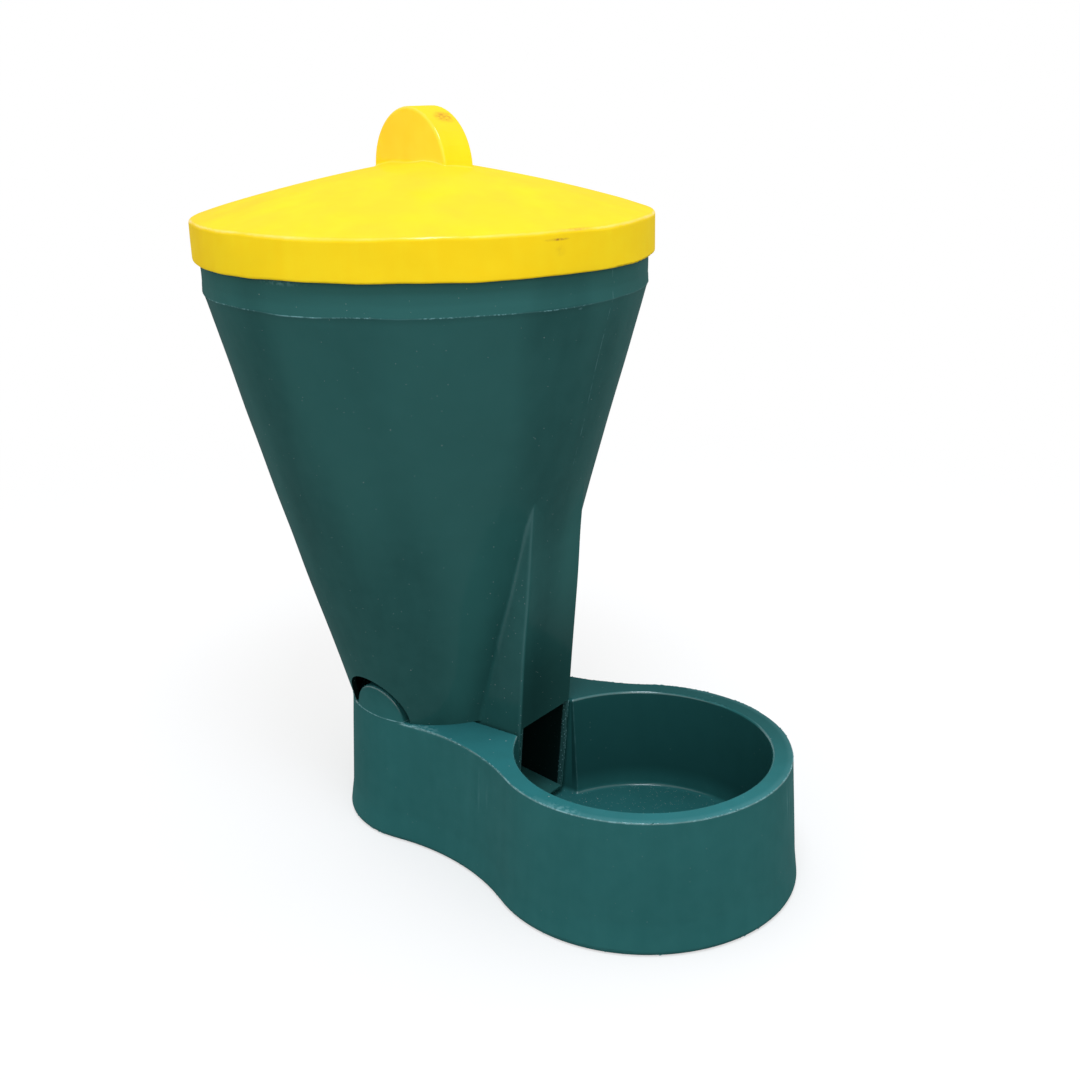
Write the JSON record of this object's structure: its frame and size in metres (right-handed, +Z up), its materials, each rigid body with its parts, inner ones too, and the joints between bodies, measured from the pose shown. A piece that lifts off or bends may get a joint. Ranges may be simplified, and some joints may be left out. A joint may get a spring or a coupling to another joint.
{
  "type": "gravity dog feeder",
  "caption": "Gravity dog feeder with a cone-shaped hopper under a domed lift-off lid, whose chute drops into a slot behind the food bowl of a hollow waisted base.",
  "frame": {"origin": "on the floor, straight under the axis of the hopper, the lid and the rear end of the base", "axes": "+Z up along the hopper's axis, the bowl in front towards -Y, +X to the right as seen from the front"},
  "size_m": [0.4, 0.565, 0.6569],
  "materials": {
    "green_polyethylene": "satin moulded skin",
    "yellow_polyethylene": "satin moulded skin",
    "plug_polyethylene": "matt"
  },
  "bodies": {
    "base": {"base": "green_polyethylene", "base_vent_plug": "plug_polyethylene"},
    "hopper": {"hopper": "green_polyethylene"},
    "lid": {"lid": "yellow_polyethylene"}
  },
  "joints": [
    {"name": "hopper_lift", "type": "slide", "parent": "base", "child": "hopper", "axis": [0, 0, 1], "range_m": [0, 0.15]},
    {"name": "lid_lift", "type": "slide", "parent": "hopper", "child": "lid", "axis": [0, 0, 1], "range_m": [0, 0.1]}
  ]
}
